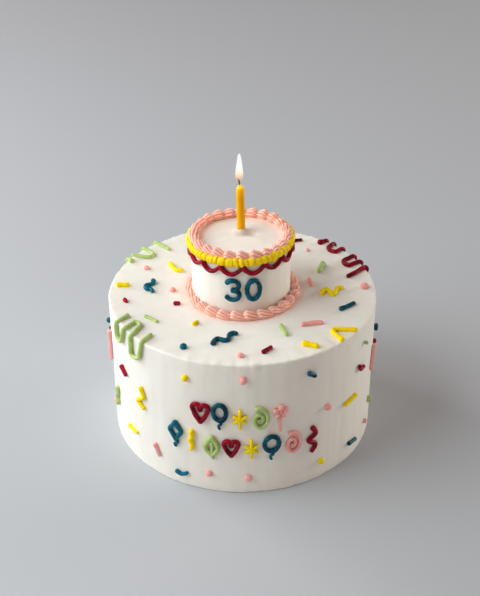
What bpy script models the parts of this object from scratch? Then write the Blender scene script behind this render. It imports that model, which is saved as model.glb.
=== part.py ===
"""Two-tier buttercream birthday cake with one lit candle.

A small top tier stands in the middle of a wide bottom tier. Shell borders, a
bead border, a scalloped garland, numerals, party motifs and confetti strokes
are piped on both with round and star tips. Units are metres, +Z is up, the
front faces -Y, and the origin is the middle of the cake's flat base.

Places round the cake are given as an azimuth in degrees, 0 at the front and
growing towards +X.
"""
import math

import bmesh
import bpy
from mathutils import Vector

MM = 0.001
GAP = 0.3 * MM                 # clearance between pieces that rest on each other

# Bottom tier: an 8 inch round, nearly straight, with a softly rounded rim.
TIER_RADIUS = 100.0 * MM
TIER_HEIGHT = 112.0 * MM
TIER_EDGE = 2.0 * MM

# Top tier: a 3 inch round, a little off the middle of the one below.
TOP_RADIUS = 36.2 * MM
TOP_HEIGHT = 44.0 * MM
TOP_CENTRE = Vector((-0.8, -1.5, 0)) * MM
TOP_BASE = TIER_HEIGHT + GAP
TOP_FACE = TOP_BASE + TOP_HEIGHT

# Borders round the top tier: how many shells, how thick, where their middle runs.
RIM_SHELLS = 25
RIM_SHELL_RADIUS = 3.1 * MM
RIM_RING_RADIUS = 33.0 * MM
FOOT_SHELLS = 27
FOOT_SHELL_RADIUS = 3.5 * MM
BEADS = 40
BEAD_RADIUS = 2.4 * MM
BEAD_HEIGHT = 155.7 * MM
SWAGS = 15
SWAG_RADIUS = 1.6 * MM
SWAG_TOP = 151.3 * MM
SWAG_DROP = 4.3 * MM
SWAG_START = 2.5               # azimuth of one meeting point, degrees

# Candle: a thin birthday candle pushed into the top tier, leaning to its left.
CANDLE_RADIUS = 3.0 * MM
CANDLE_SHOWN = 35.8 * MM
CANDLE_SUNK = 20.0 * MM
CANDLE_FOOT = Vector((-0.6, 7.5, 0)) * MM
CANDLE_LEAN = math.radians(-1.4)
WICK_RADIUS = 0.55 * MM
FLAME_RADIUS = 3.05 * MM
FLAME_HEIGHT = 23.0 * MM
FLAME_START = 38.4 * MM        # above the top tier's face

# Stroke radii of the plain round tips.
LETTER_STROKE = 1.7 * MM
CONFETTI_STROKE = 1.5 * MM
ZIGZAG_STROKE = 1.7 * MM

COLOURS = {
    "buttercream": ((0.86, 0.82, 0.75), 0.55),
    "shell_pink": ((0.93, 0.42, 0.33), 0.5),
    "pink_icing": ((0.87, 0.31, 0.30), 0.45),
    "yellow_icing": ((0.88, 0.68, 0.01), 0.45),
    "crimson_icing": ((0.26, 0.006, 0.022), 0.4),
    "blue_icing": ((0.004, 0.075, 0.16), 0.4),
    "green_icing": ((0.30, 0.52, 0.11), 0.45),
    "candle_wax": ((0.78, 0.37, 0.006), 0.4),
    "charred_wick": ((0.02, 0.013, 0.009), 0.9),
    "flame_glow": ((1.0, 0.86, 0.6), 0.5),
}


# ---- scene, materials and the basic ways of making a piece -----------------

def clear_scene():
    for item in list(bpy.data.objects):
        bpy.data.objects.remove(item, do_unlink=True)


def new_collection(name):
    group = bpy.data.collections.new(name)
    bpy.context.scene.collection.children.link(group)
    return group


def principled(name):
    colour, roughness = COLOURS[name]
    material = bpy.data.materials.new(name)
    material.use_nodes = True
    shader = material.node_tree.nodes["Principled BSDF"]
    shader.inputs["Base Color"].default_value = (*colour, 1.0)
    shader.inputs["Roughness"].default_value = roughness
    shader.inputs["Metallic"].default_value = 0.0
    return material


def polar(azimuth, radius, height, centre=Vector()):
    """A point at an azimuth in degrees, a radius and a height."""
    angle = math.radians(azimuth)
    return centre + Vector((radius * math.sin(angle), -radius * math.cos(angle), height))


def turned(name, profile, steps, material, group):
    """A solid of revolution; the profile runs from the top of the axis to its foot."""
    mesh = bpy.data.meshes.new(name)
    points = [(radius, 0.0, height) for radius, height in profile]
    mesh.from_pydata(points, [(i, i + 1) for i in range(len(points) - 1)], [])
    piece = bpy.data.objects.new(name, mesh)
    group.objects.link(piece)
    mesh.materials.append(material)
    screw = piece.modifiers.new("turn", "SCREW")
    screw.axis = "Z"
    screw.steps = steps
    screw.render_steps = steps
    screw.use_merge_vertices = True
    screw.merge_threshold = 0.00001
    screw.use_smooth_shade = True
    return piece


def tube(name, points, radius, material, group, closed=False, swell=None):
    """A six-sided tube through the points; swell scales its radius at each of them."""
    curve = bpy.data.curves.new(name, "CURVE")
    curve.dimensions = "3D"
    curve.twist_mode = "MINIMUM"
    curve.bevel_depth = radius
    curve.bevel_resolution = 1
    curve.use_fill_caps = not closed
    spline = curve.splines.new("POLY")
    spline.points.add(len(points) - 1)
    for index, point in enumerate(points):
        spline.points[index].co = (*point, 1.0)
        spline.points[index].radius = swell[index] if swell else 1.0
    spline.use_cyclic_u = closed
    curve.materials.append(material)
    piece = bpy.data.objects.new(name, curve)
    group.objects.link(piece)
    return piece


def as_mesh(piece, group):
    """The evaluated piece as a plain mesh object of the same name, caps welded."""
    bpy.context.view_layer.update()
    name, matrix = piece.name, piece.matrix_world.copy()
    evaluated = piece.evaluated_get(bpy.context.evaluated_depsgraph_get())
    mesh = bpy.data.meshes.new_from_object(evaluated)
    bpy.data.objects.remove(piece, do_unlink=True)
    shape = bmesh.new()
    shape.from_mesh(mesh)
    bmesh.ops.remove_doubles(shape, verts=shape.verts, dist=0.00001)
    bmesh.ops.recalc_face_normals(shape, faces=shape.faces)
    shape.to_mesh(mesh)
    shape.free()
    mesh.name = name
    solid = bpy.data.objects.new(name, mesh)
    solid.matrix_world = matrix
    group.objects.link(solid)
    return solid


def combine(piece, other, operation):
    """Boolean of two mesh objects, kept as a live modifier on the first."""
    cut = piece.modifiers.new(operation.lower(), "BOOLEAN")
    cut.operation = operation
    cut.solver = "EXACT"
    cut.object = other


def soften(piece, angle=50):
    piece.data.shade_smooth()
    piece.data.set_sharp_from_angle(angle=math.radians(angle))


# ---- places on the cake ------------------------------------------------------

def on_top(route, lift):
    """Points on the bottom tier's face, from (x, y) in millimetres."""
    return [Vector((x * MM, y * MM, TIER_HEIGHT + lift)) for x, y in route]


def on_side(route, lift, reach=5.0):
    """Points on the bottom tier's side, from (azimuth, height in millimetres)."""
    points = [polar(route[0][0], TIER_RADIUS + lift, route[0][1] * MM)]
    for (azimuth, height), (next_azimuth, next_height) in zip(route, route[1:]):
        parts = max(1, math.ceil(abs(next_azimuth - azimuth) / reach))
        for part in range(1, parts + 1):
            share = part / parts
            points.append(polar(azimuth + (next_azimuth - azimuth) * share, TIER_RADIUS + lift,
                                (height + (next_height - height) * share) * MM))
    return points


def over_rim(azimuth, inward, lift):
    """A point on the bottom tier's skin, a distance inward from where its rim starts to round.

    Negative distances run round the rim and down the side.
    """
    quarter = TIER_EDGE * math.pi / 2
    corner_radius = TIER_RADIUS - TIER_EDGE
    corner_height = TIER_HEIGHT - TIER_EDGE
    if inward >= 0:
        return polar(azimuth, corner_radius - inward, TIER_HEIGHT + lift)
    if inward <= -quarter:
        return polar(azimuth, TIER_RADIUS + lift, corner_height + inward + quarter)
    turn = -inward / TIER_EDGE
    reach = TIER_EDGE + lift
    return polar(azimuth, corner_radius + reach * math.sin(turn), corner_height + reach * math.cos(turn))


def wrapped(azimuth, height, drawing, radius, lift, centre=Vector()):
    """A flat drawing of (across, up) points laid round a tier's side."""
    degrees = math.degrees(1 / radius)
    return [polar(azimuth + across * degrees, radius + lift, height + up, centre) for across, up in drawing]


def round_ended(points, radius):
    """Points and radius factors of an open stroke whose two ends are rounded off."""
    first = points[0] + (points[1] - points[0]).normalized() * radius
    last = points[-1] + (points[-2] - points[-1]).normalized() * radius
    middle = list(points[1:-1])
    return [points[0], first, *middle, last, points[-1]], [0.55, 1.0, *[1.0] * len(middle), 1.0, 0.55]


# ---- tiers and candle ---------------------------------------------------------

def tier_profile(radius, height, edge, foot=0.8 * MM):
    """Half outline of a tier, from the middle of its face to the middle of its base."""
    arc = [(radius - edge + edge * math.sin(turn), height - edge + edge * math.cos(turn))
           for turn in (0.0, math.pi / 4, math.pi / 2)]
    return [(0.0, height), *arc, (radius, foot), (radius - foot, 0.0), (0.0, 0.0)]


def build_tiers(group, cutters, materials):
    cream = materials["buttercream"]
    turned("bottom_tier", tier_profile(TIER_RADIUS, TIER_HEIGHT, TIER_EDGE), 64, cream, group)

    top = turned("top_tier", tier_profile(TOP_RADIUS, TOP_HEIGHT, 1.5 * MM), 40, cream, group)
    top.location = TOP_CENTRE + Vector((0, 0, TOP_BASE))
    top = as_mesh(top, group)
    soften(top)

    # The candle's hole is blind and follows its lean, with clearance all round.
    hole_radius = CANDLE_RADIUS + GAP
    above = 5.0 * MM
    profile = [(0.0, above), (hole_radius, above), (hole_radius, -CANDLE_SUNK - GAP), (0.0, -CANDLE_SUNK - GAP)]
    hole = turned("candle_hole", profile, 16, cream, cutters)
    hole.location = CANDLE_FOOT + Vector((0, 0, TOP_FACE))
    hole.rotation_euler = (0, CANDLE_LEAN, 0)
    hole = as_mesh(hole, cutters)
    combine(top, hole, "DIFFERENCE")


def wick_points():
    """The wick's bend, from the wax nipple to its charred tip, in the candle's own frame."""
    foot = CANDLE_SHOWN + 2.0 * MM
    bend = ((0.0, 0.0), (0.0, 2.0), (-0.2, 3.6), (-0.7, 5.0), (-1.6, 6.1))
    return [Vector((across * MM, 0.0, foot + up * MM)) for across, up in bend]


def build_candle(group, cutters, materials):
    foot = CANDLE_FOOT + Vector((0, 0, TOP_FACE))
    shown = CANDLE_SHOWN
    profile = [(0.0, shown + 1.6 * MM), (0.7 * MM, shown + 1.5 * MM), (1.1 * MM, shown + 0.5 * MM),
               (2.2 * MM, shown), (CANDLE_RADIUS, shown - 1.0 * MM), (CANDLE_RADIUS, -CANDLE_SUNK),
               (0.0, -CANDLE_SUNK)]
    candle = turned("candle", profile, 16, materials["candle_wax"], group)

    points, swell = round_ended(wick_points(), WICK_RADIUS)
    wick = tube("wick", points, WICK_RADIUS, materials["charred_wick"], group, swell=swell)
    for piece in (candle, wick):
        piece.location = foot
        piece.rotation_euler = (0, CANDLE_LEAN, 0)

    # The flame stands straight up and is open below, where the wick enters it.
    shares = ((0.0, 0.42), (0.07, 0.74), (0.2, 0.98), (0.34, 1.0), (0.52, 0.84), (0.72, 0.52), (0.9, 0.2))
    outline = [(FLAME_RADIUS * wide, FLAME_HEIGHT * high) for high, wide in reversed(shares)]
    profile = [(0.0, FLAME_HEIGHT), *outline, (0.0, 0.0)]
    flame = turned("flame", profile, 14, materials["flame_glow"], group)
    flame.location = foot + Vector((math.sin(CANDLE_LEAN) * FLAME_START - 0.4 * MM, 0, FLAME_START))
    flame = as_mesh(flame, group)
    soften(flame)
    room = tube("wick_room", wick_points(), WICK_RADIUS + GAP, materials["flame_glow"], cutters)
    room.location = foot
    room.rotation_euler = (0, CANDLE_LEAN, 0)
    room = as_mesh(room, cutters)
    combine(flame, room, "DIFFERENCE")


# ---- borders round the top tier -----------------------------------------------

def shell_ring(name, count, radius, ring_radius, foot, material, group):
    """A closed rope of piped shells: each swells from a narrow neck and tapers to the next."""
    shell = (0.72, 1.0, 0.9)
    points, swell = [], []
    for index in range(count * len(shell)):
        share = shell[index % len(shell)]
        azimuth = 360 * index / (count * len(shell))
        points.append(polar(azimuth, ring_radius, foot + radius * share, TOP_CENTRE))
        swell.append(share)
    tube(name, points, radius, material, group, closed=True, swell=swell)


def build_borders(group, materials):
    pink = materials["shell_pink"]
    shell_ring("rim_shell_border", RIM_SHELLS, RIM_SHELL_RADIUS, RIM_RING_RADIUS, TOP_FACE + GAP, pink, group)
    foot_ring = TOP_RADIUS + GAP + FOOT_SHELL_RADIUS
    shell_ring("foot_shell_border", FOOT_SHELLS, FOOT_SHELL_RADIUS, foot_ring, TIER_HEIGHT + GAP, pink, group)

    points, swell = [], []
    for index in range(2 * BEADS):
        share = 1.0 if index % 2 else 0.8
        points.append(polar(180 * index / BEADS, TOP_RADIUS + GAP + BEAD_RADIUS * share, BEAD_HEIGHT, TOP_CENTRE))
        swell.append(share)
    tube("bead_border", points, BEAD_RADIUS, materials["yellow_icing"], group, closed=True, swell=swell)

    steps = 5
    points = []
    for index in range(SWAGS * steps):
        azimuth = SWAG_START + 360 * index / (SWAGS * steps)
        hang = math.sin(math.pi * (index % steps) / steps)
        points.append(polar(azimuth, TOP_RADIUS + GAP + SWAG_RADIUS, SWAG_TOP - SWAG_DROP * hang, TOP_CENTRE))
    tube("swag_garland", points, SWAG_RADIUS, materials["crimson_icing"], group, closed=True)


# ---- flat drawings for the numerals and motifs ----------------------------------
# Each gives a list of strokes, a stroke being its (across, up) points and whether it
# closes on itself. Width and height are those of the stroke's middle line.

def ellipse(half_width, half_height, middle, count):
    return [(half_width * math.cos(2 * math.pi * i / count), middle + half_height * math.sin(2 * math.pi * i / count))
            for i in range(count)]


def arc(half_width, half_height, middle, start, stop, count):
    return [(half_width * math.cos(math.radians(angle)), middle + half_height * math.sin(math.radians(angle)))
            for angle in (start + (stop - start) * i / (count - 1) for i in range(count))]


def numeral_three(width, height):
    quarter = height / 4
    upper = arc(width * 0.46, quarter, quarter, 150, -90, 7)
    lower = arc(width * 0.5, quarter, -quarter, 90, -150, 7)
    return [(upper, False), (lower, False)]


def numeral_zero(width, height):
    return [(ellipse(width / 2, height / 2, 0.0, 12), True)]


def heart(width, height):
    lobe = width / 4
    crown = height / 2 - lobe
    right = [(lobe + lobe * math.cos(math.radians(a)), crown + lobe * math.sin(math.radians(a)))
             for a in (95, 45, 0, -40)]
    left = [(-across, up) for across, up in reversed(right)]
    return [([(0.0, crown - lobe * 0.2), *right, (0.0, -height / 2), *left], True)]


def balloon(width, height):
    half = height * 0.3
    middle = height / 2 - half
    knot = middle - half
    fall = knot + height / 2
    string = [(0.0, knot), (width * 0.12, knot - fall * 0.35), (-width * 0.1, knot - fall * 0.7), (0.0, -height / 2)]
    return [(ellipse(width / 2, half, middle, 10), True), (string, False)]


def burst(width, height):
    across, up = width / 2, height / 2
    slant = across * math.tan(math.radians(35))
    miss = height * 0.04
    return [([(0.0, up), (0.0, -up)], False),
            ([(-across, slant + miss), (across, miss - slant)], False),
            ([(-across, -slant - miss), (across, slant - miss)], False)]


def swirl(width, height):
    turns, count, core = 1.2, 12, 0.12
    points = []
    for index in range(count):
        share = index / (count - 1)
        angle = 2 * math.pi * turns * share + math.radians(120)
        grow = core + (1 - core) * share
        points.append((width / 2 * grow * math.cos(angle), height / 2 * grow * math.sin(angle)))
    return [(points, False)]


def flower(width, height):
    lobes, count = 5, 15
    mean = width / 2.5
    middle = height / 2 - mean * 1.28
    ring = []
    for index in range(count):
        angle = 2 * math.pi * index / count
        reach = mean * (1 + 0.28 * math.cos(lobes * angle))
        ring.append((reach * math.sin(angle), middle + reach * math.cos(angle)))
    stem = [(0.0, middle - mean * 0.8), (0.0, -height / 2)]
    return [(ring, True), (stem, False)]


def kite(width, height):
    crown, belt, point = height / 2, height * 0.16, -height * 0.16
    sail = [(0.0, crown), (width / 2, belt), (0.0, point), (-width / 2, belt)]
    fall = point + height / 2
    tail = [(0.0, point), (width * 0.16, point - fall * 0.4), (-width * 0.12, point - fall * 0.72), (0.0, -height / 2)]
    return [(sail, True), (tail, False)]


def leaf(width, height):
    crown, foot = height / 2, -height * 0.3
    right = [(width * 0.42, height * 0.2), (width / 2, -height * 0.02), (width * 0.3, -height * 0.2)]
    left = [(-across, up) for across, up in reversed(right)]
    return [([(0.0, crown), *right, (0.0, foot), *left], True),
            ([(0.0, foot), (width * 0.12, -height / 2)], False)]


def streamer(width, height, bends=3):
    flat = 0.9 * MM
    points = [(0.0, height / 2)]
    for index in range(bends):
        up = height / 2 - height * (index + 1) / (bends + 1)
        across = width / 2 * (1 if index % 2 == 0 else -1)
        points.extend([(across, up + flat), (across, up - flat)])
    points.append((0.0, -height / 2))
    return [(points, False)]


def pipe_drawing(name, drawing, azimuth, height, radius, centre, stroke, material, group):
    """Pipe a drawing's strokes round a tier, each a little thinner, and join them into one solid."""
    solids = []
    for index, (points, closed) in enumerate(drawing):
        thickness = stroke * (1 - 0.05 * index)
        places = wrapped(azimuth, height, points, radius, GAP + stroke, centre)
        label = name if index == 0 else f"{name}_{index}"
        solids.append(tube(label, places, thickness, material, group, closed=closed))
    if len(solids) == 1:
        return
    solids = [as_mesh(solid, group) for solid in solids]
    for solid in solids[1:]:
        combine(solids[0], solid, "UNION")
    joined = as_mesh(solids[0], group)
    for solid in solids[1:]:
        bpy.data.objects.remove(solid, do_unlink=True)
    soften(joined)


NUMERALS = (
    # name, drawing, azimuth, middle height, outer width, outer height (millimetres)
    ("numeral_3", numeral_three, -9.4, 133.6, 13.2, 19.4),
    ("numeral_0", numeral_zero, 13.4, 133.5, 12.8, 19.2),
)

MOTIFS = (
    # name, colour, drawing, azimuth, middle height, outer width, outer height (millimetres)
    ("heart_crimson", "crimson_icing", heart, -16.8, 70.2, 15.4, 18.5),
    ("balloon_blue", "blue_icing", balloon, -9.0, 69.1, 12.6, 24.4),
    ("burst_yellow", "yellow_icing", burst, -1.1, 67.6, 12.4, 20.0),
    ("swirl_green", "green_icing", swirl, 6.7, 67.2, 16.6, 23.0),
    ("flower_pink", "pink_icing", flower, 15.0, 65.9, 13.4, 24.7),
    ("kite_blue", "blue_icing", kite, -28.0, 45.8, 12.6, 24.9),
    ("streamer_yellow", "yellow_icing", streamer, -21.0, 44.6, 5.4, 19.5),
    ("leaf_green", "green_icing", leaf, -12.5, 41.0, 12.8, 22.8),
    ("heart_small_crimson", "crimson_icing", heart, -4.6, 41.8, 14.0, 16.5),
    ("burst_low_yellow", "yellow_icing", burst, 3.4, 41.3, 12.4, 20.0),
    ("balloon_low_blue", "blue_icing", balloon, 11.6, 41.1, 14.0, 23.7),
    ("swirl_pink", "pink_icing", swirl, 20.3, 41.4, 17.0, 23.5),
    ("streamer_crimson", "crimson_icing", streamer, 29.1, 39.7, 9.6, 24.3),
)


def build_drawings(group, materials):
    for name, drawing, azimuth, height, width, tall in NUMERALS:
        lines = drawing(width * MM - 2 * LETTER_STROKE, tall * MM - 2 * LETTER_STROKE)
        pipe_drawing(name, lines, azimuth, height * MM, TOP_RADIUS, TOP_CENTRE, LETTER_STROKE,
                     materials["blue_icing"], group)
    for name, colour, drawing, azimuth, height, width, tall in MOTIFS:
        lines = drawing(width * MM - 2 * LETTER_STROKE, tall * MM - 2 * LETTER_STROKE)
        pipe_drawing(name, lines, azimuth, height * MM, TIER_RADIUS, Vector(), LETTER_STROKE,
                     materials[colour], group)


# ---- zigzags over the rim, and the larger confetti strokes ------------------------

ZIGZAGS = (
    # name, colour, azimuths of the legs, their inner ends in turn, and how far they fall outside
    ("zigzag_green_front", "green_icing", (-63.5, -57, -51, -44.5), (8.3, 8.2, 9.1), -14.0),
    ("zigzag_green_back", "green_icing", (-135, -128, -121, -115), (16.0, 13.0, 5.0), -14.0),
    ("zigzag_crimson_back", "crimson_icing", (104, 111.3, 117, 125.3, 131, 136.5), (17.0, 9.5, 6.8, 5.5), -12.0),
)

TOP_STROKES = (
    # name, colour, route on the bottom tier's face: (x, y) in millimetres from the middle
    ("check_yellow", "yellow_icing", ((-56.5, 37), (-51, 25.5), (-45, 25.5))),
    ("squiggle_blue", "blue_icing", ((-71.5, 11), (-67.5, 8), (-70, 2.5), (-72.5, -0.5), (-70.5, -5), (-66.5, -7))),
    ("dash_yellow_left", "yellow_icing", ((-95, 3.5), (-84.5, 3.5))),
    ("dash_green_left", "green_icing", ((-70, -39), (-60, -47))),
    ("wave_blue", "blue_icing",
     ((-20.5, -75.5), (-18.5, -68.5), (-14.5, -68), (-11.5, -70), (-9, -63.5), (-6.5, -61.5), (-3, -64))),
    ("dash_crimson_front", "crimson_icing", ((13.5, -85), (20, -78))),
    ("dash_green_right", "green_icing", ((26.5, -51.5), (31, -65.5))),
    ("arch_pink", "pink_icing", ((42, -51.4), (49, -49.4), (55.6, -48.6))),
    ("dash_yellow_right", "yellow_icing", ((42, -75.3), (50, -78.2))),
    ("hook_yellow", "yellow_icing", ((68.6, -71), (63.4, -62), (65, -57.8), (79, -58.6))),
    ("dash_blue_right", "blue_icing", ((70, -30.5), (81.5, -21.5))),
    ("wave_yellow", "yellow_icing", ((57.2, -10.4), (60.4, -4.4), (64, -7), (66.6, -11), (69.6, -5), (73, -1.6), (75, -3.6))),
    ("dash_pink_right", "pink_icing", ((50, 11.8), (52, 1.6))),
    ("dash_green_back", "green_icing", ((63, 35.8), (58.2, 21.2))),
    ("dash_crimson_back", "crimson_icing", ((38, 71.5), (49, 74))),
)

SIDE_STROKES = (
    # name, colour, route on the bottom tier's side: (azimuth, height in millimetres)
    ("stripe_pink_left", "pink_icing", ((-79, 84), (-80, 60))),
    ("dash_crimson_left", "crimson_icing", ((-60.9, 75.2), (-58.2, 71.6))),
    ("squiggle_green", "green_icing", ((-68.4, 49.8), (-67.2, 45), (-68.8, 40), (-67.8, 36), (-69.8, 32))),
    ("lightning_yellow", "yellow_icing", ((-46, 73.6), (-44.3, 65.2), (-48, 59.2), (-43.6, 54))),
    ("dash_yellow_low", "yellow_icing", ((-57.4, 26.4), (-49.8, 26.6))),
    ("dash_pink_low", "pink_icing", ((-39.5, 28.5), (-36.5, 18))),
    ("smile_blue", "blue_icing", ((-29, 12), (-26, 10), (-23, 13))),
    ("dash_blue_front", "blue_icing", ((26, 99.6), (29.8, 94.9))),
    ("dash_yellow_side", "yellow_icing", ((55, 57), (46, 55.5))),
    ("stripe_pink_right", "pink_icing", ((75.8, 78), (73, 57))),
    ("dash_blue_low", "blue_icing", ((50.5, 15), (57.5, 12.5))),
)


def build_zigzags(group, materials):
    rounding = TIER_EDGE * math.pi / 2
    lift = ZIGZAG_STROKE + 1.5 * GAP
    for name, colour, legs, inner_ends, outer_end in ZIGZAGS:
        inner_ends = [inner_ends[min((index + 1) // 2, len(inner_ends) - 1)] * MM for index in range(len(legs))]
        route = []
        for index, azimuth in enumerate(legs):
            leg = [inner_ends[index], 0.0, -rounding / 2, -rounding, outer_end * MM]
            if index % 2:
                leg.reverse()
            route.extend((azimuth, inward) for inward in leg)
            if index + 1 < len(legs):
                turn = 1.8 * MM * (1 if index % 2 else -1)
                route.append(((azimuth + legs[index + 1]) / 2, leg[-1] + turn))
        points = [over_rim(azimuth, inward, lift) for azimuth, inward in route]
        points, swell = round_ended(points, ZIGZAG_STROKE)
        tube(name, points, ZIGZAG_STROKE, materials[colour], group, swell=swell)


def build_confetti(group, materials):
    lift = CONFETTI_STROKE + GAP
    for strokes, place in ((TOP_STROKES, on_top), (SIDE_STROKES, on_side)):
        for name, colour, route in strokes:
            points, swell = round_ended(place(route, lift), CONFETTI_STROKE)
            tube(name, points, CONFETTI_STROKE, materials[colour], group, swell=swell)


def main():
    clear_scene()
    group = new_collection("birthday_cake")
    cutters = new_collection("cutters")
    materials = {name: principled(name) for name in COLOURS}
    build_tiers(group, cutters, materials)
    build_candle(group, cutters, materials)
    build_borders(group, materials)
    build_drawings(group, materials)
    build_zigzags(group, materials)
    build_confetti(group, materials)
    for cutter in cutters.objects:
        cutter.hide_render = True
        cutter.display_type = "WIRE"


main()
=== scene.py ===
"""Looks of the two-tier birthday cake with one lit candle.

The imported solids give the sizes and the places. Every surface that shows is modelled here:
the scraped buttercream, the piped borders, numerals, motifs and confetti, and the candle.
Metres throughout, +Z up, the front faces -Y, azimuths in degrees from the front towards +X.
"""
import math
import random

import bmesh
import bpy
from mathutils import Matrix, Vector, noise


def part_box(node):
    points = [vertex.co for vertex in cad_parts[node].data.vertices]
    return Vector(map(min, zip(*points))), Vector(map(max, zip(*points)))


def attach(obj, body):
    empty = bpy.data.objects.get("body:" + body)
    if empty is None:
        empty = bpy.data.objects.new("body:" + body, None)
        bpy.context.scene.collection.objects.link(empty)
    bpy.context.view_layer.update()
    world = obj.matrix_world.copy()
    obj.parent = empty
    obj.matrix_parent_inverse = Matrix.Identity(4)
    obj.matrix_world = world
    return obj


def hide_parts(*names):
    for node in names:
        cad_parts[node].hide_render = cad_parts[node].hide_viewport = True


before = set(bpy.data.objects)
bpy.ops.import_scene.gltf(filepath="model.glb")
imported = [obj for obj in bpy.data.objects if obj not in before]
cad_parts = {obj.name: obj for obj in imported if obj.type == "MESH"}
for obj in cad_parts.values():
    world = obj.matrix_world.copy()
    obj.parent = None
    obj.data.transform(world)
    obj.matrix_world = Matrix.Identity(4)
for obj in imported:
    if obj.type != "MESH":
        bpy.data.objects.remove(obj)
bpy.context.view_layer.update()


# ==== Studio: camera, floor and light =====================================================
# A plain pale floor runs out of sight. One large soft light stands low at the cake's left, a
# reflector answers it from the right, a third light lifts the floor far behind, and a weak
# warm one fills in from the front.

MM = 0.001
tier_low, tier_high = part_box("bottom_tier")
TIER_RADIUS = (tier_high[0] - tier_low[0]) / 2
TIER_HEIGHT = tier_high[2]


def new_object(name, data):
    """Show a mesh, curve, light or camera in the scene."""
    item = bpy.data.objects.new(name, data)
    bpy.context.scene.collection.objects.link(item)
    return item


def aimed(item, place, target, roll=0.0):
    """Put an object at a place, looking down its own -Z at a target."""
    turn = (Vector(target) - Vector(place)).to_track_quat("-Z", "Y").to_matrix().to_4x4()
    item.matrix_world = Matrix.Translation(place) @ turn @ Matrix.Rotation(roll, 4, "Z")


def plain_mesh(name, points, faces):
    mesh = bpy.data.meshes.new(name)
    mesh.from_pydata(points, [], faces)
    return mesh


def surface(name, **sockets):
    """A material with its shader's named sockets set; returns its tree and shader as well."""
    material = bpy.data.materials.new(name)
    material.use_nodes = True
    shader = material.node_tree.nodes["Principled BSDF"]
    for label, value in sockets.items():
        shader.inputs[label.replace("_", " ")].default_value = value
    return material, material.node_tree, shader


def softbox(name, place, target, size, watts, colour):
    lamp = bpy.data.lights.new(name, "AREA")
    lamp.shape = "DISK"
    lamp.size = size
    lamp.energy = watts
    lamp.color = colour
    aimed(new_object(name, lamp), place, target)


CAMERA_PLACE = (0.0, -0.6347, 0.4958)
CAMERA_TARGET = (-0.0018, 0.0, 0.1034)
CAMERA_ROLL = math.radians(-0.27)
camera_data = bpy.data.cameras.new("camera")
camera_data.lens = 59.84
camera_data.sensor_width = 36.0
camera = new_object("camera", camera_data)
aimed(camera, CAMERA_PLACE, CAMERA_TARGET, CAMERA_ROLL)
bpy.context.scene.camera = camera

FLOOR_REACH = 12.0
floor_corners = [(x * FLOOR_REACH, y * FLOOR_REACH, 0) for x, y in ((-1, -1), (1, -1), (1, 1), (-1, 1))]
floor_mesh = plain_mesh("floor", floor_corners, [(0, 1, 2, 3)])
floor_paint, _, _ = surface("studio_floor", Base_Color=(0.495, 0.515, 0.541, 1.0), Roughness=0.75)
floor_mesh.materials.append(floor_paint)
new_object("floor", floor_mesh)

CAKE_MIDDLE = (0.0, 0.0, 0.1)
softbox("key", (-1.06, -0.2, 0.86), CAKE_MIDDLE, 1.5, 20.4, (0.93, 0.99, 1.0))
softbox("reflector", (2.5, 1.05, 0.52), CAKE_MIDDLE, 1.4, 36.0, (1.0, 0.98, 0.88))
softbox("background", (-2.3, 1.6, 1.0), (-0.5, 1.1, 0.0), 1.0, 32.0, (1.0, 0.97, 0.98))
softbox("front_fill", (0.25, -1.7, 0.35), CAKE_MIDDLE, 0.9, 2.6, (1.0, 0.86, 0.68))

room = bpy.data.worlds.new("room")
room.use_nodes = True
room_light = room.node_tree.nodes["Background"]
room_light.inputs["Color"].default_value = (1.0, 0.87, 0.85, 1.0)
room_light.inputs["Strength"].default_value = 0.275
bpy.context.scene.world = room
bpy.context.scene.view_settings.view_transform = "Standard"


# ==== Tiers: scraped buttercream ===========================================================
# Each tier is sponge under a coat of pale buttercream, scraped round with a straight edge.
# The coat keeps faint upright bands, a slightly uneven rim and small pits near its foot, and
# the candle has pressed it up into a low mound.

top_low, top_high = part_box("top_tier")
TOP_RADIUS = (top_high[0] - top_low[0]) / 2
TOP_CENTRE = Vector(((top_low[0] + top_high[0]) / 2, (top_low[1] + top_high[1]) / 2, 0))
TOP_FACE = top_high[2]
CANDLE_PLACE = (-0.6 * MM, 7.5 * MM)


def add_node(tree, kind, *values, **named):
    """A new node, its inputs set in order or by name, or fed where a value is a socket.

    A name in small letters is one of the node's own settings instead.
    """
    node = tree.nodes.new(kind)
    for name, value in named.items():
        if name.islower():
            setattr(node, name, value)
    filled = list(zip(node.inputs, values))
    filled += [(node.inputs[name.replace("_", " ")], value)
               for name, value in named.items() if not name.islower()]
    for socket, value in filled:
        if isinstance(value, bpy.types.NodeSocket):
            tree.links.new(value, socket)
        else:
            socket.default_value = value
    return node


def calc(tree, operation, *values):
    """One step of arithmetic on sockets or numbers."""
    return add_node(tree, "ShaderNodeMath", *values, operation=operation).outputs["Value"]


def ramp(tree, share, *stops):
    """Colours along a share from 0 to 1; each stop is its position and its colour with cover."""
    node = add_node(tree, "ShaderNodeValToRGB", Fac=share)
    elements = node.color_ramp.elements
    while len(elements) < len(stops):
        elements.new(0.5)
    for element, (position, colour) in zip(elements, stops):
        element.position = position
        element.color = colour
    return node.outputs


def fine_relief(tree, shader, place, scale, detail, strength, depth, roughness=0.5):
    """A small grain in the light on a surface, too fine for the mesh."""
    grain = add_node(tree, "ShaderNodeTexNoise", Vector=place, Scale=scale, Detail=detail,
                     Roughness=roughness).outputs["Fac"]
    bump = add_node(tree, "ShaderNodeBump", Strength=strength, Distance=depth, Height=grain)
    tree.links.new(bump.outputs["Normal"], shader.inputs["Normal"])


PAINTED_LIGHT_FROM = 20 * MM       # how far left of the middle an icing starts to be painted lighter, as if lit more from the left
CLOUD_SCALE = 160.0        # of the soft clouds of shade, about 6 mm across
CREAM_RELIEF = 0.4 * MM


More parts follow.
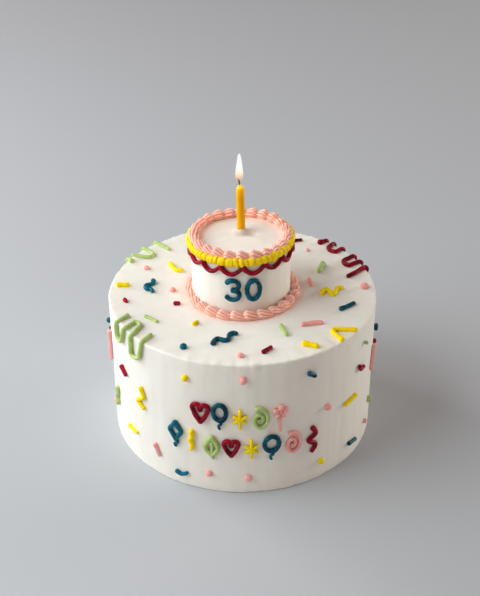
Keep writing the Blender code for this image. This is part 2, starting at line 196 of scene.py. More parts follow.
def cream_like(name, colour, deep, roughness, gloss, scatter, scatter_reach, grain=900.0, stretch=1.0,
               painted_left_light=0.0, ridge_painted=False, painted_light=()):
    """Icing or cream: two close shades in soft clouds, a fine grain, light scattered inside.

    Stretch draws the clouds out upwards, as a scraper does. The left-light setting paints the colour
    lighter towards -X, the side the key lamp lights, by so much a metre: painted light. A ridged cream
    is painted pale where its ridge light is high and deep where it is low: a painted highlight on its
    ridges and painted shade in its grooves and creases.
    Painted light tints its upward faces, painted bounce glow and painted shadow, each given as
    (place, distance where it is clear, distance where it is full, colour, share).
    """
    material, tree, shader = surface(name, Roughness=roughness, Specular_IOR_Level=gloss,
                                     Subsurface_Weight=scatter, Subsurface_Radius=scatter_reach,
                                     Subsurface_Scale=1.0)
    position = add_node(tree, "ShaderNodeTexCoord").outputs
    place = position["Object"]
    drawn = add_node(tree, "ShaderNodeMapping", Vector=place, Scale=(1.0, 1.0, 1.0 / stretch))
    clouds = add_node(tree, "ShaderNodeTexNoise", Vector=drawn.outputs["Vector"], Scale=CLOUD_SCALE,
                      Detail=3.0, Roughness=0.55)
    share, low, high = clouds.outputs["Fac"], 0.3, 0.68
    # Painted light: the colour is painted lighter towards -X, the side the key lamp lights.
    if painted_left_light:
        across = add_node(tree, "ShaderNodeSeparateXYZ", Vector=place).outputs["X"]
        leftward = calc(tree, "MINIMUM", calc(tree, "ADD", across, PAINTED_LIGHT_FROM), 0.0)
        share = calc(tree, "SUBTRACT", share, calc(tree, "MULTIPLY", leftward, painted_left_light))
    # Painted light and shade: pale where the ridge light is high, deep in the grooves and creases where it is
    # low.
    if ridge_painted:
        ridge = add_node(tree, "ShaderNodeAttribute", attribute_name="painted_ridge_light").outputs["Fac"]
        spread = calc(tree, "MULTIPLY", calc(tree, "SUBTRACT", share, 0.5), 0.5)
        share, low, high = calc(tree, "ADD", ridge, spread), 0.10, 0.85
    shade = ramp(tree, share, (low, (*deep, 1.0)), (high, (*colour, 1.0)))["Color"]
    # Painted light: tints mixed into upward faces by distance from a place, for painted bounce glow and
    # painted shadow.
    if painted_light:
        flat = add_node(tree, "ShaderNodeMapping", Vector=place, Scale=(1.0, 1.0, 0.0)).outputs["Vector"]
        upward = add_node(tree, "ShaderNodeSeparateXYZ", Vector=position["Normal"]).outputs["Z"]
        upward = calc(tree, "MAXIMUM", upward, 0.0)
    for centre, clear, full, tint, strength in painted_light:
        away = add_node(tree, "ShaderNodeVectorMath", flat, centre, operation="DISTANCE").outputs["Value"]
        painted_share = add_node(tree, "ShaderNodeMapRange", interpolation_type="SMOOTHSTEP", Value=away,
                         From_Min=clear, From_Max=full, To_Max=strength).outputs["Result"]
        shade = add_node(tree, "ShaderNodeMixRGB", Fac=calc(tree, "MULTIPLY", painted_share, upward),
                         Color1=shade, Color2=(*tint, 1.0)).outputs["Color"]
    tree.links.new(shade, shader.inputs["Base Color"])
    fine_relief(tree, shader, place, grain, 4.0, 0.12, CREAM_RELIEF, roughness=0.6)
    return material


PAINTED_PINK_BOUNCE = (0.96, 0.70, 0.58), 0.45              # painted glow bounced from the pink borders onto the cream
PAINTED_CANDLE_SHADOW = (0.56, 0.43, 0.38), 0.7        # painted shade round the candle's foot and its mound, standing in for their shadow
MOUND = (CANDLE_PLACE[0] + 0.9 * MM, CANDLE_PLACE[1] - 1.9 * MM)
HOLLOW = (CANDLE_PLACE[0] + 7.4 * MM, CANDLE_PLACE[1] - 4.6 * MM)
# Fresh and deeper colour, roughness, gloss, scatter and its reach, grain, stretch.
COAT = ((0.90, 0.875, 0.81), (0.875, 0.84, 0.765), 0.55, 0.25, 0.25, (0.004, 0.003, 0.002), 700.0, 5.0)
# Both faces are painted pinker near the borders, a painted bounce of their glow, and the top face darker
# round the candle's foot, a painted shadow.
low_coat = cream_like("buttercream_low_tier", *COAT, painted_light=((TOP_CENTRE, 51 * MM, 43 * MM, *PAINTED_PINK_BOUNCE),))
top_coat = cream_like("buttercream_top_tier", *COAT, painted_light=(
    (TOP_CENTRE, 22 * MM, 30 * MM, *PAINTED_PINK_BOUNCE),
    ((MOUND[0] - 0.7 * MM, MOUND[1] - 0.4 * MM, 0.0), 8.2 * MM, 3.2 * MM, *PAINTED_CANDLE_SHADOW)))


def add_piece(name, mesh, material, slot, *nodes):
    """Link a finished mesh, let it ride with the cake and stand for its solids."""
    mesh.materials.clear()
    mesh.materials.append(material)
    mesh.shade_smooth()
    piece = new_object(name, mesh)
    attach(piece, "root")
    if nodes:
        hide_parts(*nodes)
    return piece


def wave(angle, height, around, upward, seed):
    """Smooth noise wrapped round a tier, about -0.5 to 0.5."""
    return noise.noise(Vector((math.cos(angle) * around, math.sin(angle) * around, height * upward + seed)))


def turns(around):
    return [2 * math.pi * index / around for index in range(around)]


def ring_faces(rings, around, closed=False):
    """Four-sided faces between rings of points that follow each other."""
    faces = []
    for ring in range(rings if closed else rings - 1):
        here, there = ring * around, (ring + 1) % rings * around
        for index in range(around):
            after = (index + 1) % around
            faces.append((here + index, there + index, there + after, here + after))
    return faces


RIM_SOFTNESS = 3.2 * MM    # how far the rim's unevenness reaches over the face and the side
RIM_STEPS, SIDE_STEPS = 7, 70
PIT_DEPTH = 1.8 * MM
COVE_HEIGHT = 2.4 * MM
SKIRT = 0.6 * MM           # how far the side's last ring stands above the base
FOOT_TUCK = 0.994          # how far the base is drawn in under the side


def scraped_tier(name, node, material, radius, flare, low, high, centre, rim, seed, band, around, face_steps,
                 swells=(), cove=0.0):
    """A tier turned ring by ring, each point moved in or out by the scraper's unevenness.

    Swells are soft mounds and hollows in its face: (x, y, reach across, reach away, height).
    Cove is how far its foot spreads where cream is pressed against what it stands on.
    """
    height = high - low
    rings = [((step / face_steps) ** 0.7 * (radius - rim), height, 0.0) for step in range(1, face_steps + 1)]
    for step in range(1, RIM_STEPS + 1):
        turn = math.pi / 2 * step / RIM_STEPS
        rings.append((radius - rim + rim * math.sin(turn), height - rim + rim * math.cos(turn),
                      step / RIM_STEPS))
    for step in range(1, SIDE_STEPS):
        rings.append((radius, (height - rim) * (1 - step / SIDE_STEPS), 1.0))
    rings.append((radius, SKIRT, 1.0))
    points = []
    for reach, up, side in rings:
        from_rim = math.exp(-((radius - reach) ** 2 + (height - up) ** 2) / (2 * RIM_SOFTNESS ** 2))
        for angle in turns(around):
            # Upright bands on the side, pits low on it, and an uneven lip round the rim.
            bands = wave(angle, up, 26, 4, seed) * band + wave(angle, up, 5, 10, seed + 9) * 2.2 * band
            pits = max(0.0, wave(angle, up, 60, 900, seed + 3) - 0.28) * PIT_DEPTH
            pits *= math.exp(-up / (0.16 * height)) * side
            lip = wave(angle, 0, 7, 0, seed + 5) * 0.9 + wave(angle, 0, 34, 0, seed + 7) * 1.2 + 0.15
            lip *= MM * from_rim
            swirl = noise.noise(Vector((reach * math.cos(angle) * 45, reach * math.sin(angle) * 45,
                                        seed + 20)))
            grown = side * (bands - pits + flare * (0.5 - up / height)) + lip * 0.6 * side
            grown += cove * math.exp(-up / COVE_HEIGHT) * side
            lift = (1 - side) * (swirl * 0.35 * MM) + lip * (1 - side)
            for x, y, across, away, rise in swells:
                off_x = (centre[0] + reach * math.sin(angle) - x) / across
                off_y = (centre[1] - reach * math.cos(angle) - y) / away
                lift += rise * math.exp(-off_x ** 2 - off_y ** 2)
            spread = reach + grown
            points.append((centre[0] + spread * math.sin(angle), centre[1] - spread * math.cos(angle),
                           low + up + (lift if up > 0.5 * height else 0.0)))
    foot, crown = (len(rings) - 1) * around, len(points)
    points.append((centre[0], centre[1], high))
    base = len(points)
    for x, y, _ in points[foot:foot + around]:
        points.append((centre[0] + (x - centre[0]) * FOOT_TUCK, centre[1] + (y - centre[1]) * FOOT_TUCK, low))
    middle = len(points)
    points.append((centre[0], centre[1], low))
    faces = ring_faces(len(rings), around)
    for index in range(around):
        after = (index + 1) % around
        faces += [(crown, index, after), (foot + index, base + index, base + after, foot + after),
                  (base + index, middle, base + after)]
    mesh = plain_mesh(name, points, faces)
    mesh.validate()
    add_piece(name, mesh, material, "buttercream", node)


scraped_tier("bottom_tier_cream", "bottom_tier", low_coat, TIER_RADIUS - 0.15 * MM, 0.8 * MM, 0.0,
             TIER_HEIGHT, (0, 0), 1.6 * MM, 1.0, 0.20 * MM, 320, 16)
scraped_tier("top_tier_cream", "top_tier", top_coat, TOP_RADIUS, 0.3 * MM, TIER_HEIGHT - 0.5 * MM, TOP_FACE,
             TOP_CENTRE, 2.0 * MM, 40.0, 0.12 * MM, 200, 40, cove=2.0 * MM,
             swells=((*MOUND, 5.0 * MM, 3.8 * MM, 3.6 * MM), (*HOLLOW, 4.8 * MM, 2.6 * MM, -2.0 * MM)))


# ==== Piped lines: zigzags over the rim ====================================================
# Soft icing is pressed from a plain round tip straight onto the cream. Each line starts
# with a small blob, runs a little uneven and breaks off round, and it sits slightly sunk in.

ICING_SCATTER = (1.6 * MM, 1.0 * MM, 0.7 * MM)
ICING = {
    # fresh colour, deeper colour, roughness, gloss, share of light scattered inside, how much lighter the
    # colour is painted towards the lit left side
    "crimson": ((0.40, 0.008, 0.034), (0.085, 0.0006, 0.004), 0.30, 0.09, 0.05, 3.8),
    "blue": ((0.004, 0.130, 0.200), (0.0003, 0.013, 0.029), 0.22, 0.12, 0.0, 8.0),
    "yellow": ((1.0, 0.80, 0.008), (0.96, 0.66, 0.002), 0.38, 0.09, 0.12, 1.0),
    "green": ((0.53, 0.67, 0.26), (0.36, 0.51, 0.15), 0.40, 0.09, 0.15, 0.6),
    "pink": ((0.94, 0.465, 0.43), (0.87, 0.36, 0.33), 0.42, 0.09, 0.15, 2.0),
}
icings = {colour: cream_like(f"piped_{colour}_icing", *look, ICING_SCATTER, painted_left_light=painted_left_light)
          for colour, (*look, painted_left_light) in ICING.items()}


def geometry_tree(name, **inputs):
    """A Geometry Nodes tree with named inputs; returns it and what they give."""
    tree = bpy.data.node_groups.new(name, "GeometryNodeTree")
    for label, kind in {"Geometry": "Geometry", **inputs, "Material": "Material"}.items():
        tree.interface.new_socket(label, in_out="INPUT", socket_type="NodeSocket" + kind)
    tree.interface.new_socket("Geometry", in_out="OUTPUT", socket_type="NodeSocketGeometry")
    return tree, tree.nodes.new("NodeGroupInput").outputs


def finished(tree, given, geometry):
    """End a tree with real geometry in its material."""
    real = add_node(tree, "GeometryNodeRealizeInstances", Geometry=geometry).outputs["Geometry"]
    made = add_node(tree, "GeometryNodeSetMaterial", Geometry=real, Material=given["Material"])
    add_node(tree, "NodeGroupOutput", Geometry=made.outputs["Geometry"])
    return tree


def grow(name, source, tree, material, **values):
    """Run a tree on an object with its named inputs set, and keep the result as a plain mesh."""
    carrier = new_object(name, source)
    modifier = carrier.modifiers.new(tree.name, "NODES")
    modifier.node_group = tree
    for item in tree.interface.items_tree:
        if item.in_out == "INPUT" and item.name != "Geometry":
            modifier[item.identifier] = material if item.name == "Material" else values[item.name]
    bpy.context.view_layer.update()
    result = carrier.evaluated_get(bpy.context.evaluated_depsgraph_get())
    mesh = bpy.data.meshes.new_from_object(result)
    carrier.modifiers.remove(modifier)
    bpy.data.objects.remove(carrier)
    mesh.name = name
    return mesh


def piped_line_tree():
    """Thicken each curve into a line of icing with round ends, a starting blob and a wobble."""
    tree, given = geometry_tree("piped_line", Stroke="Float", Grain="Float", Blob="Float", Wobble="Float",
                                Seed="Float")
    smooth = add_node(tree, "GeometryNodeCurveSplineType", spline_type="CATMULL_ROM", Curve=given["Geometry"])
    fine = add_node(tree, "GeometryNodeSetSplineResolution", Geometry=smooth.outputs["Curve"], Resolution=16)
    sampled = add_node(tree, "GeometryNodeResampleCurve", mode="LENGTH", Curve=fine.outputs["Geometry"],
                       Length=given["Grain"])

    stroke = given["Stroke"]
    along = add_node(tree, "GeometryNodeSplineParameter").outputs["Length"]
    whole = add_node(tree, "GeometryNodeSplineLength").outputs["Length"]
    ends = calc(tree, "MINIMUM", along, calc(tree, "SUBTRACT", whole, along))
    inner = calc(tree, "SUBTRACT", 1.0, calc(tree, "MINIMUM", calc(tree, "DIVIDE", ends, stroke), 1.0))
    cap = calc(tree, "SQRT", calc(tree, "SUBTRACT", 1.0, calc(tree, "MULTIPLY", inner, inner)))
    cap = calc(tree, "MAXIMUM", cap, 0.03)
    away = calc(tree, "DIVIDE", calc(tree, "SUBTRACT", along, stroke), calc(tree, "MULTIPLY", stroke, 1.3))
    bell = calc(tree, "EXPONENT", calc(tree, "MULTIPLY", calc(tree, "MULTIPLY", away, away), -1.0))
    blob = calc(tree, "MULTIPLY", bell, given["Blob"])
    place = add_node(tree, "GeometryNodeInputPosition").outputs["Position"]
    uneven = add_node(tree, "ShaderNodeTexNoise", noise_dimensions="4D", Scale=290.0, Detail=1.0,
                      Vector=place, W=given["Seed"]).outputs["Fac"]
    shaky = calc(tree, "MULTIPLY", calc(tree, "SUBTRACT", uneven, 0.5), given["Wobble"])
    swell = calc(tree, "ADD", calc(tree, "ADD", 1.0, blob), shaky)
    radius = calc(tree, "MULTIPLY", calc(tree, "MULTIPLY", stroke, cap), swell)
    drawn = add_node(tree, "GeometryNodeInputRadius").outputs["Radius"]
    section = add_node(tree, "GeometryNodeCurvePrimitiveCircle", Resolution=14, Radius=1.0).outputs["Curve"]
    body = add_node(tree, "GeometryNodeCurveToMesh", Curve=sampled.outputs["Curve"], Profile_Curve=section,
                    Scale=calc(tree, "MULTIPLY", radius, drawn), Fill_Caps=True)
    return finished(tree, given, body.outputs["Mesh"])


piped_line = piped_line_tree()
SINK = 0.78                # how much of a line's radius its middle stands above the cream


def pipe_in(material, slot, name, routes, stroke, *nodes, blob=0.18, wobble=0.34, seed=0.0, grain=0.4 * MM):
    """Pipe lines along 3-D routes, each a list of points or of (point, thickness)."""
    curve = bpy.data.curves.new(name, "CURVE")
    curve.dimensions = "3D"
    for route in routes:
        spline = curve.splines.new("POLY")
        spline.points.add(len(route) - 1)
        for target, point in zip(spline.points, route):
            place, thickness = point if isinstance(point[0], Vector) else (point, 1.0)
            target.co = (*place, 1.0)
            target.radius = thickness
    mesh = grow(name, curve, piped_line, material, Stroke=stroke, Grain=grain, Blob=blob, Wobble=wobble,
                Seed=seed)
    add_piece(name, mesh, material, slot, *nodes)


def pipe(colour, *line, **manner):
    """Pipe lines in one of the icings."""
    pipe_in(icings[colour], f"{colour}_icing", *line, **manner)


def polar(azimuth, radius, height, centre=Vector()):
    angle = math.radians(azimuth)
    return centre + Vector((radius * math.sin(angle), -radius * math.cos(angle), height))


RIM_ROUND = 2.0 * MM


def over_rim(azimuth, inward, lift):
    """A point on the bottom tier's skin, a distance inward from where its rim starts to round."""
    quarter = RIM_ROUND * math.pi / 2
    corner_radius, corner_height = TIER_RADIUS - RIM_ROUND, TIER_HEIGHT - RIM_ROUND
    if inward >= 0:
        return polar(azimuth, corner_radius - inward, TIER_HEIGHT + lift)
    if inward <= -quarter:
        return polar(azimuth, TIER_RADIUS + lift, corner_height + inward + quarter)
    turn = -inward / RIM_ROUND
    reach = RIM_ROUND + lift
    return polar(azimuth, corner_radius + reach * math.sin(turn), corner_height + reach * math.cos(turn))


ZIGZAG_STROKE = 1.5 * MM
TURN_DEPTH = 1.9           # how far a turn reaches past its legs' ends, in millimetres
ZIGZAGS = (
    # node, icing, how thick against the others, how far it stands out below the rim, then each
    # leg: azimuth inside, at the rim and outside, how far in and how far out (millimetres)
    ("zigzag_green_front", "green", 1.0, 1.0, (
        (-64.7, -62.8, -62.6, 8.3, 12.0), (-58.0, -56.4, -58.2, 8.2, 12.0),
        (-53.6, -50.8, -50.6, 8.2, 15.6), (-45.0, -44.0, -45.3, 9.1, 13.8))),
    ("zigzag_green_back", "green", 1.0, 0.3, (
        (-114.2, -115.8, -116.5, 4.2, 12.0), (-121.6, -120.0, -119.0, 10.4, 12.0),
        (-126.2, -127.6, -128.5, 10.4, 12.0), (-135.3, -135.3, -134.0, 16.0, 12.0))),
    ("zigzag_crimson_back", "crimson", 1.14, 0.3, (
        (138.2, 136.8, 137.4, 6.6, 11.0), (131.2, 132.2, 133.2, 6.6, 11.0),
        (125.9, 126.2, 126.0, 6.8, 11.0), (116.4, 117.9, 119.4, 9.5, 11.0),
        (111.2, 112.4, 113.0, 9.5, 11.0), (100.4, 106.8, 110.4, 17.3, 11.0))),
)
for name, colour, thick, proud, legs in ZIGZAGS:
    route = []
    for index, (inside, at_rim, outside, inner, outer) in enumerate(legs):
        leg = [(inside, inner), ((inside + at_rim) / 2, inner / 2), (at_rim, 0.0), (at_rim, -1.6),
               (at_rim, -3.2), ((at_rim + outside) / 2, -outer * 0.6), (outside, -outer)]
        if index % 2:
            leg.reverse()
        route.extend(leg)
        if index + 1 < len(legs):
            next_inside, _, next_outside, next_inner, next_outer = legs[index + 1]
            if index % 2:
                route.append(((inside + next_inside) / 2, (inner + next_inner) / 2 + TURN_DEPTH))
            else:
                route.append(((outside + next_outside) / 2, -(outer + next_outer) / 2 - TURN_DEPTH))
    stroke = ZIGZAG_STROKE * thick
    points = [over_rim(azimuth, inward * MM, SINK * stroke * (proud if inward < -3 else 1.0))
              for azimuth, inward in route]
    pipe(colour, name + "_icing", [points], stroke, name, blob=0.4, seed=float(round(legs[0][0])))


# ==== Piped lines: the larger confetti strokes =============================================
# Dashes, hooks, waves and stripes in five colours are piped freehand over the bottom tier's
# face and side. Each route is a few places: (x, y) on the face, (azimuth, height) on the side.

CONFETTI_STROKE = 1.5 * MM
TOP_STROKES = (
    # node, icing, how thick against the others, route (millimetres)
    ("check_yellow", "yellow", 1.1, (-56.5, 37), (-51, 25.5), (-45, 25.5)),
    ("squiggle_blue", "blue", 1.05, (-69.2, 9.8), (-66.9, 8.8), (-67.2, 5.4), (-69.6, 3.9), (-71.8, 3.0),
     (-72.6, 0.0), (-71.2, -2.6), (-69.0, -2.2), (-67.4, -4.2), (-66.4, -7.4)),
    ("dash_yellow_left", "yellow", 1.15, (-95, 3.5), (-84.5, 3.5)),
    ("dash_green_left", "green", 0.78, (-70, -39), (-60, -47)),
    ("wave_blue", "blue", 1.12, (-20.2, -76.6), (-19.6, -72.2), (-17.4, -69.2), (-15, -70), (-12, -71.3),
     (-9.6, -69.6), (-9.2, -64.6), (-7.2, -62.3), (-5.0, -62.5), (-3.6, -64.2)),
    ("dash_crimson_front", "crimson", 1.0, (13.2, -86), (20.2, -78.6)),
    ("dash_green_right", "green", 1.0, (26.5, -51.5), (31, -65.5)),
    ("arch_pink", "pink", 1.1, (40.9, -51.8), (49, -49.8), (57.3, -48.8)),
    ("dash_yellow_right", "yellow", 1.25, (40.4, -74.8), (52.1, -79.0)),
    ("hook_yellow", "yellow", 1.12, (69.2, -72.0), (63.4, -62), (65, -57.8), (80.4, -58.8)),
    ("dash_blue_right", "blue", 1.05, (69.8, -31.8), (76, -27.6), (82.2, -22.4)),
    ("wave_yellow", "yellow", 1.15, (58.2, -10.8), (59.9, -6.0), (62.5, -4.4), (64.4, -6.8), (65.8, -10.4),
     (67.9, -10.6), (69.3, -6.0), (71.3, -2.0), (73.7, -1.8), (74.8, -3.4)),
    ("dash_pink_right", "pink", 1.1, (50, 11.8), (52, 1.6)),
    ("dash_green_back", "green", 1.35, (63, 35.8), (58.2, 21.2)),
    ("dash_crimson_back", "crimson", 0.95, (38, 71.5), (49, 74)),
)
SIDE_STROKES = (
    # node, icing, how thick against the others, route (degrees, millimetres)
    ("stripe_pink_left", "pink", 1.0, (-79, 87.6), (-80, 60)),
    ("dash_crimson_left", "crimson", 1.0, (-60.9, 77.6), (-56.0, 72.0)),
    ("squiggle_green", "green", 1.15, (-68.0, 50.5), (-67.2, 45), (-68.8, 40), (-68.0, 35.6), (-69.6, 31.6)),
    ("lightning_yellow", "yellow", 1.0, (-46, 73.6), (-45, 69), (-44.2, 65.4), (-46.4, 62), (-48, 59.4),
     (-45.8, 56.6), (-43.8, 54.4)),
    ("dash_yellow_low", "yellow", 0.9, (-57.4, 26.4), (-49.8, 26.6)),
    ("dash_pink_low", "pink", 1.0, (-39.5, 28.5), (-36.5, 18)),
    ("smile_blue", "blue", 1.0, (-29, 12), (-26, 10), (-23, 13)),
    ("dash_blue_front", "blue", 1.1, (26.0, 99.6), (29.8, 94.9)),
    ("dash_yellow_side", "yellow", 1.0, (55, 57), (46, 55.5)),
    ("stripe_pink_right", "pink", 0.9, (75.8, 78), (73, 57)),
    ("dash_blue_low", "blue", 1.0, (50.5, 15), (57.5, 12.5)),
)
SIDE_STEP = 4.0            # degrees between the points of a stroke that runs round the side


def on_top(route, lift):
    return [Vector((x * MM, y * MM, TIER_HEIGHT + lift)) for x, y in route]


def on_side(route, lift):
    points = [polar(route[0][0], TIER_RADIUS + lift, route[0][1] * MM)]
    for (azimuth, height), (next_azimuth, next_height) in zip(route, route[1:]):
        parts = max(1, math.ceil(abs(next_azimuth - azimuth) / SIDE_STEP))
        for part in range(1, parts + 1):
            share = part / parts
            points.append(polar(azimuth + (next_azimuth - azimuth) * share, TIER_RADIUS + lift,
                                (height + (next_height - height) * share) * MM))
    return points


for strokes, place in ((TOP_STROKES, on_top), (SIDE_STROKES, on_side)):
    for number, (name, colour, thick, *route) in enumerate(strokes):
        stroke = CONFETTI_STROKE * thick
        seed = 3.7 * number + len(strokes)
        pipe(colour, name + "_icing", [place(route, SINK * stroke)], stroke, name, seed=seed)


# ==== Piped drawings: the numerals and the party motifs ====================================
# A plain number stands on the top tier's front, and two rows of hearts, balloons, bursts and
# other party motifs on the bottom tier's. Each is drawn freehand in one to seven lines.

LETTER_STROKE = 1.7 * MM
THIN = 0.65                # how thick a motif's tail or vein is against its outline


def arc(half_width, half_height, middle, start, stop, count, across=0.0):
    """Points along part of an ellipse, from one angle in degrees to another."""
    angles = (math.radians(start + (stop - start) * i / (count - 1)) for i in range(count))
    return [(across + half_width * math.cos(a), middle + half_height * math.sin(a)) for a in angles]


def mirrored(line):
    return [(-across, up) for across, up in line]


def thinned(line, thickness=THIN):
    return [(place, thickness) for place in line]


def numeral_three(width, height):
    quarter = height / 4
    return [arc(width * 0.46, quarter, quarter, 150, -88, 12),
            arc(width * 0.5, quarter, -quarter, 92, -150, 12)]


def numeral_zero(width, height):
    return [arc(width / 2, height / 2, 0.0, 100, 462, 22)]


def heart(width, height):
    lobe = width / 4
    crown = height / 2 - lobe
    half = [(0.0, crown - lobe * 0.55), (lobe * 0.2, crown + lobe * 0.35),
            *arc(lobe, lobe, crown, 115, -30, 7, lobe), (width * 0.30, -height * 0.14),
            (width * 0.12, -height * 0.37), (0.0, -height * 0.5)]
    return [half, mirrored(half)]


def balloon(width, height):
    half = height * 0.32
    middle = height / 2 - half
    knot = middle - half
    fall = knot + height / 2
    string = [(0.0, knot), (width * 0.10, knot - fall * 0.35), (-width * 0.10, knot - fall * 0.7),
              (0.0, -height / 2)]
    return [arc(width / 2, half, middle, -90, 272, 20), thinned(string, 0.6)]


def burst(width, height):
    across, up = width / 2, height / 2
    slant = across * math.tan(math.radians(33))
    along = ((-1, 0.55), (-0.5, 0.72), (0, 0.8), (0.5, 0.72), (1, 0.55))
    return [[((x * share, y * share), tip) for share, tip in along]
            for x, y in ((0.0, -up), (across, -slant), (across, slant))]


def swirl(width, height, rounds=1.75, count=34, core=0.06):
    points = []
    for index in range(count):
        share = index / (count - 1)
        angle = 2 * math.pi * rounds * share + math.radians(200)
        reach = core + (1 - core) * share
        points.append((width / 2 * reach * math.cos(angle), height / 2 * reach * math.sin(angle)))
    return [thinned(points[::-1], 0.82)]


def flower(width, height, petals=5):
    reach = width * 0.36
    middle = height / 2 - reach * 1.25
    stem = [(0.0, middle - reach), (-width * 0.05, (middle - height / 2) / 2), (0.0, -height / 2)]
    lines = [thinned(stem, 0.6)]
    for angle in turns(petals):
        lines.append([((math.sin(angle) * reach * share, middle + math.cos(angle) * reach * share), thick)
                      for share, thick in ((0.45, 0.62), (0.85, 0.95), (1.25, 1.0))])
    return lines + [thinned([(-0.2 * MM, middle), (0.2 * MM, middle)], 0.8)]


def kite(width, height):
    crown, belt, point = height / 2, height * 0.17, -height * 0.2
    right = [(0.0, crown), (width * 0.27, (crown + belt) / 2), (width / 2, belt),
             (width * 0.26, (belt + point) / 2), (0.0, point)]
    fall = point + height / 2
    tail = [(0.0, point), (width * 0.16, point - fall * 0.4), (-width * 0.12, point - fall * 0.72),
            (0.0, -height / 2)]
    return [right, mirrored(right), thinned(tail)]


def leaf(width, height):
    crown, foot = height / 2, -height * 0.32
    right = [(0.0, crown), (width * 0.36, height * 0.24), (width / 2, height * 0.02),
             (width * 0.32, -height * 0.18), (0.0, foot)]
    vein = [(0.0, height * 0.26), (width * 0.03, 0.0), (0.0, foot), (width * 0.14, -height / 2)]
    return [right, mirrored(right), thinned(vein)]


def streamer(width, height):
    bends = ((0.0, 0.5), (0.5, 0.25), (-0.5, 0.0), (0.5, -0.25), (0.0, -0.5))
    return [[(width * across, height * up) for across, up in bends]]


MOTIFS = (
    # node, icing, drawing, azimuth, middle height, outer width, outer height (millimetres)
    ("heart_crimson", "crimson", heart, -16.8, 70.2, 15.4, 18.5),
    ("balloon_blue", "blue", balloon, -9.0, 69.1, 12.6, 24.4),
    ("burst_yellow", "yellow", burst, -1.1, 67.6, 12.4, 20.0),
    ("swirl_green", "green", swirl, 6.7, 67.2, 16.6, 23.0),
    ("flower_pink", "pink", flower, 15.0, 65.9, 13.4, 24.7),
    ("kite_blue", "blue", kite, -28.0, 45.8, 12.6, 24.9),
    ("streamer_yellow", "yellow", streamer, -21.0, 44.6, 5.4, 19.5),
    ("leaf_green", "green", leaf, -12.5, 41.0, 12.8, 22.8),
    ("heart_small_crimson", "crimson", heart, -4.6, 41.8, 14.0, 16.5),
    ("burst_low_yellow", "yellow", burst, 3.4, 41.3, 12.4, 20.0),
    ("balloon_low_blue", "blue", balloon, 11.6, 41.1, 14.0, 23.7),
    ("swirl_pink", "pink", swirl, 20.3, 41.4, 17.0, 23.5),
    ("streamer_crimson", "crimson", streamer, 29.1, 39.7, 9.6, 24.3),
)
NUMERALS = (
    ("numeral_3", "blue", numeral_three, -9.4, 133.6, 13.2, 19.4),
    ("numeral_0", "blue", numeral_zero, 13.4, 133.5, 12.8, 19.2),
)
SPREAD = 0.4 * MM          # how far the icing bulges past a drawing's nominal lines
END_REACH = 0.9 * LETTER_STROKE       # how far a round end reaches past the end of its line


def draw_round(rows, radius, centre):
    """Pipe drawings round a tier's side; each fills its outer width and height."""
    for number, (name, colour, drawing, azimuth, height, width, tall) in enumerate(rows):
        routes = []
        for line in drawing(*(size * MM - SPREAD - 2 * LETTER_STROKE for size in (width, tall))):
            line = [point if isinstance(point[0], tuple) else (point, 1.0) for point in line]
            places = [polar(azimuth + math.degrees(across / radius), radius + SINK * LETTER_STROKE,
                            height * MM + up, centre) for (across, up), _ in line]
            places[0] += (places[0] - places[1]).normalized() * END_REACH * line[0][1]
            places[-1] += (places[-1] - places[-2]).normalized() * END_REACH * line[-1][1]
            routes.append([(place, thickness) for place, (_, thickness) in zip(places, line)])
        pipe(colour, name + "_icing", routes, LETTER_STROKE, name, seed=11.0 + 2.3 * number)


draw_round(MOTIFS, TIER_RADIUS, Vector())
draw_round(NUMERALS, TOP_RADIUS, TOP_CENTRE)


# ==== Small dots and flecks ================================================================
# Between the larger strokes lie dots and short flecks, some pressed off in one squeeze. The
# same kinds carry on round the back, which is out of sight from the front.

FLECK_STROKE = 0.95 * CONFETTI_STROKE
DOT = 2.0 * MM
DOT_SHARE = 0.9            # of a dot's size, as its soft blob is drawn
DOT_PROUD = 0.35           # how much of its size a dot's middle stands above the cream
TOP_DOTS = {        # icing: (x, y, size) on the bottom tier's face
    "pink": ((-74, 29, 1.3), (-52, -3.5, 1.4), (-1.4, -88.6, 1.25), (52, 57.3, 1.05), (91.5, 0.5, 1.75)),
    "blue": ((-40.3, -78.2, 1.5),),
}
SIDE_DOTS = {       # icing: (azimuth, height, size) on its side
    "pink": ((0.2, 100.8, 1.6), (-13.9, 16.4, 1.35), (2.2, 14.4, 1.4), (36.6, 62.9, 1.45), (-78, 24, 1.0)),
    "blue": ((-83, 92, 1.2),),
    "yellow": ((-22.9, 97.2, 1.35), (34.3, 15.1, 1.45)),
    "crimson": ((-84, 84, 0.6), (82, 73.6, 1.05)),
}
FLECKS = {          # icing: short strokes, on the face in (x, y) or on the side in (azimuth, height)
    "crimson": ((on_top, (-87, -16.5), (-84.3, -20.6)), (on_top, (-50.5, -23), (-45, -22.4)),
                (on_side, (56.0, 81.6), (57.2, 76.6), (60.8, 76.4))),
    "yellow": ((on_top, (-35.3, -51.2), (-31.2, -46.8)),),
    "green": ((on_side, (61.2, 97.4), (60.9, 94.4)), (on_side, (71.8, 34.4), (74.8, 25.7))),
    "pink": ((on_side, (68.2, 18), (66.2, 15.8)),),
    "blue": ((on_side, (82.0, 88.6), (80.3, 88.4), (79.6, 85.6)),),
}


